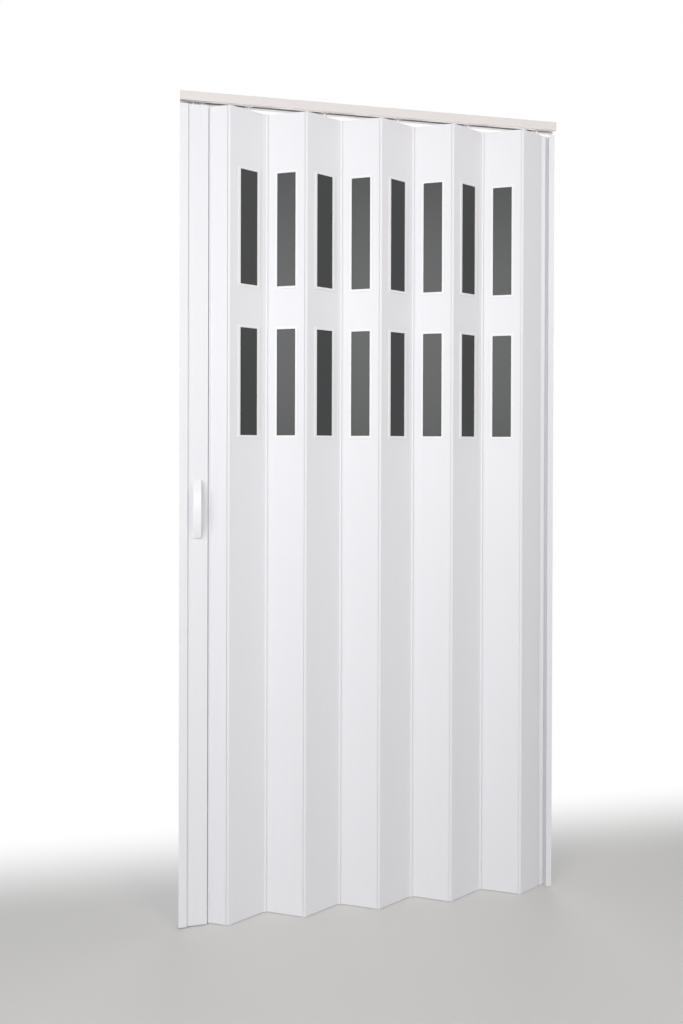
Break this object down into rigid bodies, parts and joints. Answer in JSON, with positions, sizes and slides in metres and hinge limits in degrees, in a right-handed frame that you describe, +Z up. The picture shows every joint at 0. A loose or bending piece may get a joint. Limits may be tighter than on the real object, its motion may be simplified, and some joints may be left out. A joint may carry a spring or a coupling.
{
  "type": "accordion door",
  "caption": "White plastic accordion door for a wall opening: hollow slats interlocked at their edges, smoked windows, a lead post with bow handles, a top rail and side channels.",
  "frame": {"origin": "middle of the rail's top face, on the track line", "axes": "+X along the rail towards the hinge side, -Y to the front, +Z up"},
  "size_m": [0.975, 0.076, 2.03],
  "materials": {
    "slat_plastic": "satin with a faint upright grain",
    "post_plastic": "satin",
    "profile_plastic": "satin",
    "rail_plastic": "satin",
    "frame_plastic": "smooth",
    "smoked_pane": "smooth smoked sheet",
    "handle_plastic": "smooth",
    "glider_plastic": "smooth",
    "block_plastic": "plain",
    "magnet_strip": "dull",
    "screw_steel": "zinc plated"
  },
  "bodies": {
    "fixed": {"top_rail": "rail_plastic", "pivot_block": "block_plastic", "strike_channel": "profile_plastic", "strike_magnets": "magnet_strip", "jamb_channel": "profile_plastic", "closing_strip": "profile_plastic"},
    "end_panel": {"end_slat": "slat_plastic", "end_pivot": "glider_plastic"},
    "panel_8": {"slat_8": "slat_plastic", "panes_8": "smoked_pane", "front_frames_8": "frame_plastic", "back_frames_8": "frame_plastic"},
    "panel_7": {"slat_7": "slat_plastic", "panes_7": "smoked_pane", "front_frames_7": "frame_plastic", "back_frames_7": "frame_plastic", "glider_7": "glider_plastic"},
    "panel_6": {"slat_6": "slat_plastic", "panes_6": "smoked_pane", "front_frames_6": "frame_plastic", "back_frames_6": "frame_plastic"},
    "panel_5": {"slat_5": "slat_plastic", "panes_5": "smoked_pane", "front_frames_5": "frame_plastic", "back_frames_5": "frame_plastic", "glider_5": "glider_plastic"},
    "panel_4": {"slat_4": "slat_plastic", "panes_4": "smoked_pane", "front_frames_4": "frame_plastic", "back_frames_4": "frame_plastic"},
    "panel_3": {"slat_3": "slat_plastic", "panes_3": "smoked_pane", "front_frames_3": "frame_plastic", "back_frames_3": "frame_plastic", "glider_3": "glider_plastic"},
    "panel_2": {"slat_2": "slat_plastic", "panes_2": "smoked_pane", "front_frames_2": "frame_plastic", "back_frames_2": "frame_plastic"},
    "panel_1": {"slat_1": "slat_plastic", "panes_1": "smoked_pane", "front_frames_1": "frame_plastic", "back_frames_1": "frame_plastic", "glider_1": "glider_plastic"},
    "half_panel": {"half_slat": "slat_plastic"},
    "lead": {"lead_post": "post_plastic", "post_plugs": "block_plastic", "post_gliders": "glider_plastic", "post_magnets": "magnet_strip", "handle_front": "handle_plastic", "handle_back": "handle_plastic", "handle_screws": "screw_steel"}
  },
  "joints": [
    {"name": "fold_pivot", "type": "hinge", "parent": "fixed", "child": "end_panel", "pos_m": [0.4385, 0, -1.03], "axis": [0, 0, 1], "range_deg": [0, 57.51]},
    {"name": "fold_1", "type": "hinge", "parent": "end_panel", "child": "panel_8", "pos_m": [0.39104, -0.01868, -1.03], "axis": [0, 0, 1], "range_deg": [-115.02, 0]},
    {"name": "fold_2", "type": "hinge", "parent": "panel_8", "child": "panel_7", "pos_m": [0.29613, 0.01868, -1.03], "axis": [0, 0, 1], "range_deg": [0, 115.02]},
    {"name": "fold_3", "type": "hinge", "parent": "panel_7", "child": "panel_6", "pos_m": [0.20122, -0.01868, -1.03], "axis": [0, 0, 1], "range_deg": [-115.02, 0]},
    {"name": "fold_4", "type": "hinge", "parent": "panel_6", "child": "panel_5", "pos_m": [0.10631, 0.01868, -1.03], "axis": [0, 0, 1], "range_deg": [0, 115.02]},
    {"name": "fold_5", "type": "hinge", "parent": "panel_5", "child": "panel_4", "pos_m": [0.0114, -0.01868, -1.03], "axis": [0, 0, 1], "range_deg": [-115.02, 0]},
    {"name": "fold_6", "type": "hinge", "parent": "panel_4", "child": "panel_3", "pos_m": [-0.08351, 0.01868, -1.03], "axis": [0, 0, 1], "range_deg": [0, 115.02]},
    {"name": "fold_7", "type": "hinge", "parent": "panel_3", "child": "panel_2", "pos_m": [-0.17842, -0.01868, -1.03], "axis": [0, 0, 1], "range_deg": [-115.02, 0]},
    {"name": "fold_8", "type": "hinge", "parent": "panel_2", "child": "panel_1", "pos_m": [-0.27333, 0.01868, -1.03], "axis": [0, 0, 1], "range_deg": [0, 115.02]},
    {"name": "fold_9", "type": "hinge", "parent": "panel_1", "child": "half_panel", "pos_m": [-0.36824, -0.01868, -1.03], "axis": [0, 0, 1], "range_deg": [-115.02, 0]},
    {"name": "fold_lead", "type": "hinge", "parent": "half_panel", "child": "lead", "pos_m": [-0.4157, 0, -1.03], "axis": [0, 0, 1], "range_deg": [0, 57.51]}
  ],
  "couplings": [
    {"joint": "fold_1", "follows": "fold_pivot", "ratio": -2},
    {"joint": "fold_2", "follows": "fold_pivot", "ratio": 2},
    {"joint": "fold_3", "follows": "fold_pivot", "ratio": -2},
    {"joint": "fold_4", "follows": "fold_pivot", "ratio": 2},
    {"joint": "fold_5", "follows": "fold_pivot", "ratio": -2},
    {"joint": "fold_6", "follows": "fold_pivot", "ratio": 2},
    {"joint": "fold_7", "follows": "fold_pivot", "ratio": -2},
    {"joint": "fold_8", "follows": "fold_pivot", "ratio": 2},
    {"joint": "fold_9", "follows": "fold_pivot", "ratio": -2},
    {"joint": "fold_lead", "follows": "fold_pivot", "ratio": 1}
  ]
}
